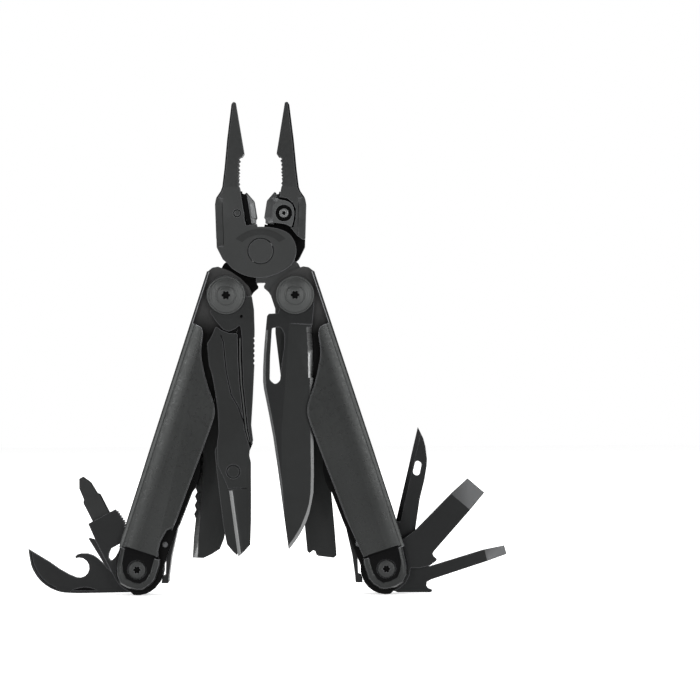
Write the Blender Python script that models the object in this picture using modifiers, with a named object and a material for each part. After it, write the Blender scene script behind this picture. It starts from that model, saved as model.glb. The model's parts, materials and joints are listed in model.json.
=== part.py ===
"""Pliers-type pocket multi tool, opened into a V with its blades fanned out.

Metres, +Z up. The tool lies in the XZ plane: its front faces -Y, the plier
jaws point up and the two handles stand on their lower ends at Z = 0.
Helper functions take millimetres.
"""
import math

import bmesh
import bpy
from mathutils import Matrix, Vector

MM = 0.001

# main layout, in millimetres
PIVOT_X = -1.706             # plier pivot sideways from the middle of the opened tool
PIVOT_HEIGHT = 115.265    # plier pivot above the ground
ARM_X = 11.55             # handle pivot, sideways from the plier pivot
ARM_DROP = 14.85          # handle pivot, below the plier pivot
HANDLE_LENGTH = 96.6      # handle pivot to tool pivot
HANDLE_LEAN = 18.2        # handle from straight down, degrees
JAW_OPEN = 9.2            # each jaw from closed, degrees

# layers across the thickness, measured from the middle plane
HEAD_HALF = 5.4           # plier head
WALL_IN = 5.75            # inner wall of a handle, inside and outside faces
WALL_OUT = 6.95
BLADE_IN = 7.25           # outer blades
BLADE_OUT = 9.2
SHELL_IN = 9.5            # outer wall of a handle
SHELL_OUT = 10.6
GAP = 0.3

# pins and screws
BOLT_R = 2.6              # handle bolt shaft
FLANGE_R = 6.5            # handle bolt flange
TOOL_PIN_R = 2.0          # small tool screw shaft
END_R = 8.68              # rounded lower end of a handle wall

# blades: degrees open from lying along their handle
KNIFE_OPEN = 19.9
SCISSORS_OPEN = 20.6
SERRATED_OPEN = 13.5
SAW_OPEN = 12.9

for old in list(bpy.data.objects):
    bpy.data.objects.remove(old, do_unlink=True)

parts = bpy.data.collections.new("multi_tool")
bpy.context.scene.collection.children.link(parts)
cutters = bpy.data.collections.new("cutters")
bpy.context.scene.collection.children.link(cutters)


def material(name, color, roughness, metallic):
    mat = bpy.data.materials.new(name)
    mat.use_nodes = True
    shader = mat.node_tree.nodes["Principled BSDF"]
    shader.inputs["Base Color"].default_value = (*color, 1.0)
    shader.inputs["Roughness"].default_value = roughness
    shader.inputs["Metallic"].default_value = metallic
    mat.diffuse_color = (*color, 1.0)
    return mat


# outlines ---------------------------------------------------------------

def rounded(points, step=24.0):
    """Closed outline; a third value on a corner is its fillet radius."""
    out = []
    for i, point in enumerate(points):
        here = Vector(point[:2])
        radius = point[2] if len(point) > 2 else 0.0
        to_last = Vector(points[i - 1][:2]) - here
        to_next = Vector(points[(i + 1) % len(points)][:2]) - here
        corner = to_last.angle(to_next)
        if radius <= 0.0 or corner > math.pi - 0.03:
            out.append((here.x, here.y))
            continue
        reach = min(radius / math.tan(corner / 2), 0.48 * to_last.length, 0.48 * to_next.length)
        radius = reach * math.tan(corner / 2)
        middle = (to_last.normalized() + to_next.normalized()).normalized()
        centre = here + middle * (radius / math.sin(corner / 2))
        first = here + to_last.normalized() * reach - centre
        last = here + to_next.normalized() * reach - centre
        start = math.atan2(first.y, first.x)
        sweep = math.atan2(last.y, last.x) - start
        sweep = (sweep + math.pi) % (2 * math.pi) - math.pi
        count = max(1, math.ceil(abs(math.degrees(sweep)) / step))
        for k in range(count + 1):
            a = start + sweep * k / count
            out.append((centre.x + radius * math.cos(a), centre.y + radius * math.sin(a)))
    return out


def wave(points, cuts=3):
    """Smooth open run through the points (Catmull-Rom)."""
    out = []
    for i in range(len(points) - 1):
        p0 = Vector(points[max(i - 1, 0)])
        p1 = Vector(points[i])
        p2 = Vector(points[i + 1])
        p3 = Vector(points[min(i + 2, len(points) - 1)])
        for k in range(cuts):
            t = k / cuts
            q = 2 * p1 + (p2 - p0) * t + (2 * p0 - 5 * p1 + 4 * p2 - p3) * t * t
            q = (q + (3 * p1 - p0 - 3 * p2 + p3) * t * t * t) / 2
            out.append((q.x, q.y))
    out.append(tuple(points[-1]))
    return out


def arc(x, z, radius, start, end, count):
    """Points on an arc, in degrees."""
    out = []
    for k in range(count + 1):
        a = math.radians(start + (end - start) * k / count)
        out.append((x + radius * math.cos(a), z + radius * math.sin(a)))
    return out


def circle(x, z, radius, count=24):
    return arc(x, z, radius, 0, 360, count)[:-1]


def turned(points, degrees):
    """The points turned about the origin, anticlockwise."""
    c = math.cos(math.radians(degrees))
    s = math.sin(math.radians(degrees))
    return [(p[0] * c - p[1] * s, p[0] * s + p[1] * c, *p[2:]) for p in points]


def mirrored(points):
    return [(-p[0], *p[1:]) for p in points]


def teeth(start, end, count, depth, bow=-0.3):
    """Saw-tooth run from start to end, slightly bowed; positive is to the left of the way."""
    a = Vector(start)
    b = Vector(end)
    side = Vector((a.y - b.y, b.x - a.x)).normalized() * depth
    out = []
    for k in range(count):
        belly = side * (bow / depth)
        low = a.lerp(b, k / count) + belly * math.sin(math.pi * k / count)
        high = a.lerp(b, (k + 0.5) / count) + side + belly * math.sin(math.pi * (k + 0.5) / count)
        out.append((low.x, low.y))
        out.append((high.x, high.y))
    out.append((b.x, b.y))
    return out


# solids -----------------------------------------------------------------

def from_curve(name, data, matrix):
    """Mesh object from a curve drawn in millimetres, with its caps welded."""
    source = bpy.data.objects.new(name + "_curve", data)
    cutters.objects.link(source)
    bpy.context.view_layer.update()
    graph = bpy.context.evaluated_depsgraph_get()
    mesh = bpy.data.meshes.new_from_object(source.evaluated_get(graph))
    mesh.transform(matrix)
    bpy.data.objects.remove(source, do_unlink=True)
    bpy.data.curves.remove(data)
    bm = bmesh.new()
    bm.from_mesh(mesh)
    bmesh.ops.remove_doubles(bm, verts=bm.verts, dist=0.002)
    bmesh.ops.dissolve_limit(bm, angle_limit=0.002, verts=bm.verts, edges=bm.edges)
    bmesh.ops.scale(bm, vec=(MM, MM, MM), verts=bm.verts)
    bmesh.ops.recalc_face_normals(bm, faces=bm.faces)
    bm.to_mesh(mesh)
    bm.free()
    mesh.name = name
    ob = bpy.data.objects.new(name, mesh)
    parts.objects.link(ob)
    return ob


def plate(name, outline, y0, y1, holes=()):
    """Flat plate in the XZ plane between two depths."""
    data = bpy.data.curves.new(name, "CURVE")
    data.dimensions = "2D"
    data.fill_mode = "BOTH"
    data.extrude = abs(y1 - y0) / 2
    for loop in (outline, *holes):
        spline = data.splines.new("POLY")
        spline.points.add(len(loop) - 1)
        for point, (x, z) in zip(spline.points, loop):
            point.co = (x, z, 0, 1)
        spline.use_cyclic_u = True
    middle = Matrix.Translation((0, (y0 + y1) / 2, 0))
    return from_curve(name, data, middle @ Matrix.Rotation(math.pi / 2, 4, "X"))


def bar(name, profile, x0, x1):
    """Prism along X; the profile is in (y, z)."""
    data = bpy.data.curves.new(name, "CURVE")
    data.dimensions = "2D"
    data.fill_mode = "BOTH"
    data.extrude = abs(x1 - x0) / 2
    spline = data.splines.new("POLY")
    spline.points.add(len(profile) - 1)
    for point, (y, z) in zip(spline.points, profile):
        point.co = (y, z, 0, 1)
    spline.use_cyclic_u = True
    basis = Matrix(((0, 0, 1, 0), (1, 0, 0, 0), (0, 1, 0, 0), (0, 0, 0, 1)))
    return from_curve(name, data, Matrix.Translation(((x0 + x1) / 2, 0, 0)) @ basis)


def turned_solid(name, profile, x=0.0, z=0.0, steps=24):
    """Solid of revolution about Y; the profile runs (radius, depth) from rear to front."""
    mesh = bpy.data.meshes.new(name)
    bm = bmesh.new()
    last = None
    for radius, depth in profile:
        vert = bm.verts.new((radius * MM, 0, -depth * MM))
        if last is not None:
            bm.edges.new((last, vert))
        last = vert
    bm.to_mesh(mesh)
    bm.free()
    source = bpy.data.objects.new(name, mesh)
    cutters.objects.link(source)
    screw = source.modifiers.new("turn", "SCREW")
    screw.axis = "Z"
    screw.angle = 2 * math.pi
    screw.steps = steps
    screw.render_steps = steps
    screw.use_merge_vertices = True
    screw.merge_threshold = 0.000005
    bpy.context.view_layer.update()
    graph = bpy.context.evaluated_depsgraph_get()
    solid = bpy.data.meshes.new_from_object(source.evaluated_get(graph))
    bpy.data.objects.remove(source, do_unlink=True)
    solid.transform(Matrix.Translation((x * MM, 0, z * MM)) @ Matrix.Rotation(math.pi / 2, 4, "X"))
    bm = bmesh.new()
    bm.from_mesh(solid)
    bmesh.ops.remove_doubles(bm, verts=bm.verts, dist=0.000005)
    bmesh.ops.recalc_face_normals(bm, faces=bm.faces)
    bm.to_mesh(solid)
    bm.free()
    solid.name = name
    ob = bpy.data.objects.new(name, solid)
    parts.objects.link(ob)
    return ob


def box(name, low, high):
    """Box between two corners."""
    bm = bmesh.new()
    bmesh.ops.create_cube(bm, size=1.0)
    size = [(b - a) * MM for a, b in zip(low, high)]
    middle = [(a + b) * MM / 2 for a, b in zip(low, high)]
    bmesh.ops.transform(bm, matrix=Matrix.Translation(middle) @ Matrix.Diagonal((*size, 1)), verts=bm.verts)
    mesh = bpy.data.meshes.new(name)
    bm.to_mesh(mesh)
    bm.free()
    ob = bpy.data.objects.new(name, mesh)
    parts.objects.link(ob)
    return ob


def boolean(target, other, operation):
    """Apply one Boolean to the target and drop the other solid."""
    for group in list(other.users_collection):
        group.objects.unlink(other)
    cutters.objects.link(other)
    other.hide_render = True
    other.display_type = "WIRE"
    change = target.modifiers.new("cut", "BOOLEAN")
    change.solver = "EXACT"
    change.operation = operation
    change.object = other
    bpy.context.view_layer.update()
    graph = bpy.context.evaluated_depsgraph_get()
    mesh = bpy.data.meshes.new_from_object(target.evaluated_get(graph))
    target.modifiers.clear()
    old = target.data
    target.data = mesh
    bpy.data.meshes.remove(old)
    bpy.data.objects.remove(other, do_unlink=True)
    return target


def cut(target, *others):
    for other in others:
        boolean(target, other, "DIFFERENCE")
    return target


def fuse(target, *others):
    for other in others:
        boolean(target, other, "UNION")
    return target


def common(target, other):
    return boolean(target, other, "INTERSECT")


def reflect(ob, axis):
    """Mirror the solid in its own plane across X, Y or Z."""
    scale = [1, 1, 1, 1]
    scale["XYZ".index(axis)] = -1
    ob.data.transform(Matrix.Diagonal(scale))
    ob.data.flip_normals()
    return ob


def copy_of(ob, name):
    """Second solid with its own mesh."""
    twin = ob.copy()
    twin.data = ob.data.copy()
    twin.name = name
    parts.objects.link(twin)
    return twin


def bevel_rim(ob, depth, width, segments, keep):
    """Bevel the edges that lie in the plane y = depth, where keep(x, z) is true."""
    bm = bmesh.new()
    bm.from_mesh(ob.data)
    chosen = []
    for edge in bm.edges:
        flat = all(abs(v.co.y - depth * MM) < 0.00001 for v in edge.verts)
        middle = (edge.verts[0].co + edge.verts[1].co) / 2
        if flat and len(edge.link_faces) == 2 and edge.calc_face_angle() > 0.6:
            if keep(middle.x / MM, middle.z / MM):
                chosen.append(edge)
    bmesh.ops.bevel(bm, geom=chosen, offset=width * MM, segments=segments, profile=0.5, affect="EDGES")
    bm.to_mesh(ob.data)
    bm.free()
    return ob


def soften(ob, width, angle=40.0, segments=1):
    """Bevel on the object's sharp edges."""
    bevel = ob.modifiers.new("edge", "BEVEL")
    bevel.width = width * MM
    bevel.segments = segments
    bevel.limit_method = "ANGLE"
    bevel.angle_limit = math.radians(angle)
    return ob


def finish(ob, mat, pivot, degrees=0.0):
    """Put a piece on its pivot, turned so that its own +X points at the angle."""
    ob.data.name = ob.name
    ob.data.materials.clear()
    ob.data.materials.append(mat)
    ob.data.shade_smooth()
    ob.data.set_sharp_from_angle(angle=math.radians(32))
    ob.location = (pivot[0] * MM, 0, pivot[1] * MM)
    ob.rotation_euler = (0, -math.radians(degrees), 0)
    return ob


PLIER_PIVOT = (PIVOT_X, PIVOT_HEIGHT)
REACH_X = HANDLE_LENGTH * math.sin(math.radians(HANDLE_LEAN))
REACH_Z = HANDLE_LENGTH * math.cos(math.radians(HANDLE_LEAN))
ARM = {}
TOOLS = {}
TURN = {}
for side, sign in (("left", -1), ("right", 1)):
    ARM[side] = (PIVOT_X + sign * ARM_X, PIVOT_HEIGHT - ARM_DROP)
    TOOLS[side] = (PIVOT_X + sign * (ARM_X + REACH_X), PIVOT_HEIGHT - ARM_DROP - REACH_Z)
    TURN[side] = 270.0 + sign * HANDLE_LEAN

BLACK = material("black_oxide", (0.024, 0.024, 0.026), 0.42, 0.85)
SHELL = material("handle_black", (0.030, 0.030, 0.033), 0.45, 0.80)
BLADE = material("blade_black", (0.020, 0.020, 0.022), 0.36, 0.85)
BOLT = material("bolt_grey", (0.085, 0.085, 0.090), 0.38, 0.90)
DARK = material("inner_black", (0.012, 0.012, 0.013), 0.50, 0.70)


# handles ----------------------------------------------------------------

def rod(name, x, z, radius, y0, y1, steps=20):
    """Plain round bar along Y."""
    return turned_solid(name, [(0, y1), (radius, y1), (radius, y0), (0, y0)], x, z, steps)


def inner_wall(name):
    """Flat side of the channel, with the rounded end that the tool stands on."""
    end = arc(HANDLE_LENGTH, 0, END_R, 115, 10, 8)
    corners = [(-5.7, -8.4), (-7.4, -7.3, 1.0), (-8.3, -5.6, 1.0), (-8.1, -1.1, 4.0), (-6.9, 2.8)]
    corners += [(-5.2, 6.2, 1.0), (-3.4, 7.8, 1.0), (3.0, 7.8, 4.0), (12.0, 7.0, 4.0), (59.5, 7.0, 3.0)]
    corners += [(62.8, 9.3, 1.0), (64.6, 10.1, 0.9), (66.6, 9.3, 1.0), (78.0, 8.7), (80.0, 8.5, 1.0), *end,
                (102.9, -3.4, 1.5), (100.7, -6.0, 1.5), (97.6, -7.1, 2.0), (90.0, -8.2)]
    return plate(name, rounded(corners), WALL_IN, WALL_OUT)


def outer_shell(name, notch):
    """Outer wall with its wavy edge, folded over from the inner wall."""
    edge = [(14.4, -3.5), (16.0, -3.0), (18.0, -2.7), (21.4, -1.8), (24.6, -0.2), (28.2, 1.9), (31.7, 4.3)]
    edge += [(34.7, 6.6), (37.2, 8.1), (40.2, 8.8), (45.7, 8.7), (54.5, 8.4), (64.5, 7.9), (76.0, 7.5)]
    outline = [(-5.7, -8.6), (-5.7, -7.75), (12.4, -7.75), (12.5, -5.4), (12.9, -4.3), *wave(edge, 2)]
    if notch:
        outline += rounded([(79.4, 7.2, 0.8), (81.0, 5.4, 0.8), (85.0, 4.6, 2.0),
                            (88.3, 4.8, 2.0), (91.2, 6.0)])[:-1]
    outline += [(91.2, 5.9), (91.2, -8.1), (80.0, -8.4)]
    shell = plate(name, outline, WALL_IN + 0.5, SHELL_OUT)
    corner = [(SHELL_OUT - 2.5 + 2.5 * math.cos(a), -4.6 - 4.0 * math.sin(a))
              for a in (0.0, 0.35, 0.7, 1.05, 1.3, 1.5708)]
    shell = common(shell, bar("fold", [(5.0, 20.0), (SHELL_OUT, 20.0), *corner, (5.0, -8.6)], -30, 120))
    pocket = [(5.0, 20.0), (SHELL_IN, 20.0), (SHELL_IN, -6.6), (9.1, -7.2), (8.5, -7.4), (5.0, -7.4)]
    return cut(shell, bar("pocket", pocket, -30, 90.5))


def end_pad(name):
    """Thick pad with a broad rounded rim round the tool screw."""
    corners = [(90.85, -7.9), (97.6, -7.2, 2.0), (100.7, -6.1, 1.5), (102.8, -4.1, 1.5), (103.4, -1.2, 2.0)]
    corners += [(103.3, 2.0, 2.0), (102.5, 4.0, 1.5), (100.0, 6.0, 1.5), (97.7, 6.9, 1.5), (93.1, 6.85),
                (90.85, 6.4)]
    pad = plate(name, rounded(corners), WALL_OUT - 0.4, 10.3)
    bevel_rim(pad, 10.3, 1.7, 2, lambda x, z: x > 91.0)
    return cut(pad, rod("seat", HANDLE_LENGTH, 0, 3.35, 8.2, 12.0))


def handle(side):
    half = fuse(outer_shell("half", side == "left"), end_pad("pad"), inner_wall("wall"))
    other = reflect(copy_of(half, "other"), "Y")
    body = box("handle_" + side, (8.5, -WALL_IN - 0.4, 5.8), (77.5, WALL_IN + 0.4, 7.0))
    fuse(body, half, other)
    cut(body, rod("bolt_hole", 0, 0, BOLT_R + GAP, -15, 15, 18))
    cut(body, rod("tool_hole", HANDLE_LENGTH, 0, TOOL_PIN_R + GAP, -15, 15, 14))
    cut(body, rod("lock_hole", 85.8, 6.2, 1.25, -9, 9, 10))
    if side == "right":
        reflect(body, "Z")
    return finish(body, SHELL, ARM[side], TURN[side])


def place_in_handle(ob, mat, side, x=0.0, z=0.0):
    """Put a piece drawn in the handle's frame on its own joint, at (x, z)."""
    ob.data.transform(Matrix.Translation((-x * MM, 0, -z * MM)))
    if side == "right":
        reflect(ob, "Z")
        z = -z
    a = math.radians(TURN[side])
    pivot = (ARM[side][0] + x * math.cos(a) - z * math.sin(a),
             ARM[side][1] + x * math.sin(a) + z * math.cos(a))
    return finish(ob, mat, pivot, TURN[side])


for side in ("left", "right"):
    handle(side)

    # bolt and nut on the handle pivot
    head = [(0, 10.1), (BOLT_R, 10.1), (BOLT_R, -9.5), (FLANGE_R, -9.5), (FLANGE_R, -10.1), (5.7, -10.5)]
    head += [(3.9, -10.65), (3.6, -11.0), (1.6, -11.2), (1.4, -11.1), (1.4, -10.2), (0, -10.2)]
    place_in_handle(turned_solid("handle_bolt_" + side, head), BOLT, side)
    nut = [(0, 11.2), (3.6, 11.0), (3.9, 10.65), (5.7, 10.5), (FLANGE_R, 10.1), (FLANGE_R, 9.5)]
    nut += [(BOLT_R + GAP, 9.5), (BOLT_R + GAP, 10.4), (0, 10.4)]
    place_in_handle(turned_solid("handle_nut_" + side, nut), BOLT, side)

    # screw and nut on the tool pivot
    head = [(0, 9.3), (TOOL_PIN_R, 9.3), (TOOL_PIN_R, -8.5), (3.0, -8.5), (3.0, -9.8), (2.6, -10.1)]
    head += [(1.1, -10.1), (1.1, -9.2), (0, -9.2)]
    place_in_handle(turned_solid("tool_screw_" + side, head, HANDLE_LENGTH, 0, 18),
                    BOLT, side, HANDLE_LENGTH)
    nut = [(0, 10.1), (2.6, 10.1), (3.0, 9.8), (3.0, 8.5), (TOOL_PIN_R + GAP, 8.5), (TOOL_PIN_R + GAP, 9.6),
           (0, 9.6)]
    place_in_handle(turned_solid("tool_nut_" + side, nut, HANDLE_LENGTH, 0, 18), BOLT, side, HANDLE_LENGTH)

    # rocker that locks the small tools, and its pin
    rocker = [(78.5, 7.4, 0.3), (78.8, 8.5, 0.4), (89.0, 9.5, 3.0), (95.4, 10.7), (97.9, 11.3, 0.3)]
    rocker += [(98.7, 8.95, 0.3), (96.3, 8.8, 0.3), (95.7, 9.6, 0.4), (94.0, 9.1, 1.0), (90.2, 8.0, 2.0),
               (88.0, 5.4, 1.2), (85.8, 4.5, 1.4)]
    rocker += [(83.6, 5.4, 1.2), (82.4, 7.2, 1.0)]
    lock = plate("tool_lock_" + side, rounded(rocker), -5.4, 5.4, [circle(85.8, 6.2, 1.25, 10)])
    place_in_handle(lock, BLADE, side, 85.8, 6.2)
    pin = [(0, 6.9), (0.95, 6.9), (0.95, -6.9), (0, -6.9)]
    place_in_handle(turned_solid("lock_pin_" + side, pin, 85.8, 6.2, 10), BOLT, side, 85.8, 6.2)

    # washer that fills the rear of the tool stack
    washer = plate("tool_spacer_" + side, circle(HANDLE_LENGTH, 0, 8.2), 2.9, 5.2,
                   [circle(HANDLE_LENGTH, 0, 2.3, 14)])
    place_in_handle(washer, BLADE, side, HANDLE_LENGTH)


# plier head, drawn round the plier pivot --------------------------------

DISC = [(-12.3, 1.0), (-8.5, 6.2), (-3.5, 7.9), (2.0, 8.1), (7.3, 7.0), (10.6, 4.6), (12.0, 0.1)]
DISC += [(10.3, -4.6), (5.2, -7.7), (0.0, -9.0), (-5.2, -8.2), (-9.5, -5.9), (-11.9, -2.5)]

INSERT_FACE = [(1.5, 20.4, 0.3), (2.1, 20.1), (2.5, 18.6), (3.5, 18.1, 1.0), (6.2, 18.0, 2.5),
               (8.3, 17.0, 2.0)]
INSERT_FACE += [(9.2, 14.5, 2.0), (9.3, 11.9), (9.0, 9.4, 0.5), (7.0, 10.2, 2.0), (3.4, 10.2, 2.0),
                (0.3, 9.4, 0.3)]
INSERT_FACE += [(-0.1, 10.7), (-0.6, 11.2), (-0.6, 17.0, 1.0)]
INSERT_EDGE = [(3.1, 20.1), (1.5, 19.6, 0.6), (-0.3, 17.1, 1.5), (-0.3, 11.7), (0.0, 9.6), (2.9, 9.6),
               (3.0, 12.0), (3.1, 16.0)]
SCREW_SPOT = (5.7, 13.8)


def spread(points, gap):
    """Outline moved outwards by a gap."""
    out = []
    count = len(points)
    area = sum(points[i - 1][0] * points[i][1] - points[i][0] * points[i - 1][1] for i in range(count))
    way = 1 if area > 0 else -1
    for i in range(count):
        here = Vector(points[i])
        a = (here - Vector(points[i - 1])).normalized()
        b = (Vector(points[(i + 1) % count]) - here).normalized()
        normal = Vector((a.y + b.y, -a.x - b.x)).normalized() * way
        out.append(tuple(here + normal * gap / max(0.5, math.sqrt((1 + a.dot(b)) / 2))))
    return out


def plier_half(name):
    """Right jaw, rear layer of the lap, and the arm to the left handle."""
    jaw = [(0.15, 50.7, 0.3), (0.9, 51.2, 0.5), (1.7, 50.4, 0.8), (5.0, 39.0), (7.5, 29.3), (9.2, 23.4, 1.0)]
    jaw += [(10.0, 22.0, 1.5), (11.9, 20.0, 1.5), (12.6, 18.0, 1.5), (13.2, 13.2), (14.2, 5.6, 0.6),
            (11.3, 7.0), (9.2, 9.0)]
    jaw += [(3.45, 12.2), (3.45, 14.0), (3.45, 20.0), (3.5, 22.0)]
    jaw += teeth((3.6, 23.0), (1.9, 31.6), 9, 0.45)
    jaw += [(0.9, 32.4), (0.15, 33.2)]
    body = plate(name, turned(rounded(jaw), -JAW_OPEN), -HEAD_HALF, HEAD_HALF)
    taper = [(-HEAD_HALF, -30), (HEAD_HALF, -30), (HEAD_HALF, 21.5), (4.7, 28.0), (1.7, 52.0)]
    taper += [(-1.7, 52.0), (-4.7, 28.0), (-HEAD_HALF, 21.5)]
    common(body, bar("taper", taper, -40, 40))
    face = spread(rounded(INSERT_FACE), GAP)
    cut(body, plate("pocket", turned(face, -JAW_OPEN), -8.0, -0.2))
    root = [(3.75, 13.6), (13.0, 13.9), (13.3, 12.0), (14.4, 3.7, 1.5), (13.0, -0.8, 2.0), (11.0, -3.0),
            (0.0, -3.0), (-0.3, 7.2), (-0.2, 9.2), (3.4, 9.25)]
    fuse(body, plate("root", turned(rounded(root), -JAW_OPEN), 0.25, HEAD_HALF - 0.02))
    fuse(body, plate("disc", wave([*mirrored(DISC), mirrored(DISC)[0]], 3)[:-1], 0.15, HEAD_HALF))
    arm = [(1.6, -6.0), (1.6, -10.6, 0.2), (-1.6, -10.7, 0.2), (-1.0, -11.8, 0.3), (-1.1, -12.5, 0.3),
           (-2.6, -13.8, 0.6), (-4.6, -17.0, 0.6), (-ARM_X, -ARM_DROP), (-17.2, -13.2), (-12.5, -4.0, 2.0),
           (-9.0, -2.0)]
    fuse(body, plate("arm", rounded(arm), 0.35, 4.4))
    fuse(body, rod("boss", -ARM_X, -ARM_DROP, 6.2, -HEAD_HALF, HEAD_HALF, 28))
    cut(body, rod("arm_hole", -ARM_X, -ARM_DROP, BOLT_R + GAP, -9, 9, 18))
    cut(body, rod("rivet_hole", 0, 0, 4.3, -9, 9, 28))
    spot = turned([SCREW_SPOT], -JAW_OPEN)[0]
    return cut(body, rod("screw_hole", *spot, 1.35, -9, 9, 12))


def cutter_insert(name):
    """Bypass wire cutter: a face plate in the jaw's pocket and a blade behind it."""
    body = plate(name, turned(rounded(INSERT_FACE), -JAW_OPEN), -5.2, -0.5)
    fuse(body, plate("edge", turned(rounded(INSERT_EDGE), -JAW_OPEN), -0.9, 4.6))
    spot = turned([SCREW_SPOT], -JAW_OPEN)[0]
    cut(body, rod("seat", *spot, 2.4, -9, -3.9, 16))
    return cut(body, rod("hole", *spot, 1.35, -9, 9, 12))


def cutter_screw(name):
    spot = turned([SCREW_SPOT], -JAW_OPEN)[0]
    head = [(0, 5.1), (1.05, 5.1), (1.05, -4.2), (2.1, -4.2), (2.1, -5.0), (1.8, -5.3), (0.8, -5.3),
            (0.8, -4.7), (0, -4.7)]
    return turned_solid(name, head, *spot, 14)


for name, make, mat in (("jaw", plier_half, BLACK), ("cutter_insert", cutter_insert, BLADE),
                        ("cutter_screw", cutter_screw, BOLT)):
    rear = make(name + "_rear")
    front = copy_of(rear, name + "_front")
    reflect(reflect(front, "X"), "Y")
    finish(rear, mat, PLIER_PIVOT)
    finish(front, mat, PLIER_PIVOT)

rivet = [(0, 5.35), (3.9, 5.35), (3.98, 5.25), (3.98, -5.25), (3.9, -5.35), (0, -5.35)]
finish(turned_solid("plier_rivet", rivet, 0, 0, 28), BLACK, PLIER_PIVOT)


# outer blades -----------------------------------------------------------
# drawn with +X down the blade from the handle pivot

def tang(radius=6.5):
    """Rounded root of a blade, on the side away from the outline's ends."""
    return arc(0, 0, radius, 100, 265, 9)


BOLT_HOLE = circle(0, 0, BOLT_R + GAP, 18)

knife = tang() + [(4.0, -6.4), (9.5, -6.0), (11.0, -5.8), (18, -6.4), (27, -6.7), (45, -7.3), (60, -7.8),
             (66, -7.8)]
knife += wave([(66, -7.8), (72.9, -6.6), (77.9, -4.8), (81.8, -2.6), (85.4, 0)], 2)[1:]
knife += wave([(85.4, 0), (65.4, 3.2), (47.8, 6.1), (34.5, 9.0), (29.2, 10.0),
               (20.4, 10.0), (12.0, 9.55), (7.3, 9.2)], 2)[1:]
knife += [(6.5, 8.6), (6.3, 5.7), (4.6, 5.0)]
thumb = rounded([(11.3, 7.5, 0.6), (10.8, 4.6, 1.2), (13.2, 3.2, 1.2), (17.2, 3.15),
                 (22.4, 3.8), (28.8, 4.3, 1.4), (30.3, 5.9, 1.2),
                 (28.6, 7.8, 1.2), (21.0, 7.85)], 30)
blade = plate("knife_blade", knife, -BLADE_OUT, -BLADE_IN, [BOLT_HOLE, thumb])
finish(reflect(blade, "Z"), BLADE, ARM["right"], TURN["right"] - KNIFE_OPEN)

# scissors: the base blade is behind, the lever blade in front
base = [(4.8, -6.1, 1), (8.6, -3.7, 1), (11.4, -1.5, 1), (12.2, 0.3, 1), (11.4, 2.6, 1), (9.9, 4.3, 1)]
strip = [(14.0, 4.6), (30.2, 4.4), (45.4, 5.3), (50.8, 6.2, 0.4), (48.9, 6.8), (43.8, 6.4), (35.4, 7.3),
         (23.7, 8.4)]
strip += [(11.9, 9.0), (5.2, 9.1), (0.8, 8.6)]
root = arc(0, 0, 6.7, 85, 275, 10) + rounded(base + strip)
low = [(3.0, 5.0), (40.0, 5.4), (50.0, 6.2, 1.0), (56.0, 4.2, 1.0), (66.0, 2.6), (80.0, 1.2), (87.2, -0.3),
       (86.0, -1.6), (83.3, -3.6, 1.0)]
low += [(77.7, -4.4), (65.2, -5.4), (56.7, -6.0), (51.7, -6.2, 0.8), (48.0, -4.2, 2.0), (44.0, 0.8, 3.0),
        (40.0, 4.5, 3.0), (14.0, 4.7)]
blade = plate("scissor_base", root, -BLADE_OUT, -BLADE_IN)
fuse(blade, plate("low", rounded(low), -8.1, -BLADE_IN - 0.01))
cut(blade, rod("hole", 0, 0, BOLT_R + GAP, -12, 0, 18), rod("hole", 59.1, -0.3, 1.3, -12, 0, 12))
finish(blade, BLADE, ARM["left"], TURN["left"] + SCISSORS_OPEN)

RIVET_SPOT = (59.1, -0.3)
lever = [(13.0, 3.2, 0.5), (12.7, 0.3), (11.7, -2.0), (10.2, -3.9, 0.5), (13.9, -5.7), (15.9, -7.1, 1),
         (20.3, -7.0), (23.3, -6.8)]
lever += [(26.7, -5.9), (32.1, -5.2), (38.2, -4.6), (46.0, -4.6), (49.5, -5.3), (56.7, -5.4), (61.0, -3.6),
          (65.5, -2.0, 2.0)]
lever += [(87.7, 0.0), (85.9, 2.2), (83.7, 4.3, 0.3), (75.8, 4.9), (69.0, 5.25), (56.3, 5.75),
          (54.0, 5.3, 1.0), (51.6, 5.6, 0.4)]
lever += [(45.4, 4.1), (30.2, 3.1), (21.8, 3.0)]
blade = plate("scissor_lever", rounded(lever), -BLADE_OUT, -8.4)
cut(blade, rod("hole", *RIVET_SPOT, 2.4, -12, 0, 18))
blade.data.transform(Matrix.Translation((-RIVET_SPOT[0] * MM, 0, -RIVET_SPOT[1] * MM)))
turn = math.radians(TURN["left"] + SCISSORS_OPEN)
RIVET_AT = (ARM["left"][0] + RIVET_SPOT[0] * math.cos(turn) - RIVET_SPOT[1] * math.sin(turn),
            ARM["left"][1] + RIVET_SPOT[0] * math.sin(turn) + RIVET_SPOT[1] * math.cos(turn))
finish(blade, BLADE, RIVET_AT, TURN["left"] + SCISSORS_OPEN)
pin = [(0, -7.3), (1.0, -7.3), (1.0, -8.4), (2.1, -8.4), (2.1, -9.2), (1.9, -9.35), (0, -9.35)]
finish(turned_solid("scissor_rivet", pin, 0, 0, 16), BOLT, RIVET_AT, TURN["left"] + SCISSORS_OPEN)
leaf = [(14.5, 3.75), (21.8, 3.4), (30.2, 3.5), (45.4, 4.45), (49.5, 5.35), (49.3, 5.65), (45.4, 4.95),
        (30.2, 4.0), (21.8, 3.95), (14.5, 4.2)]
finish(plate("scissor_spring", leaf, -9.1, -8.45), BOLT, ARM["left"], TURN["left"] + SCISSORS_OPEN)

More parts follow.
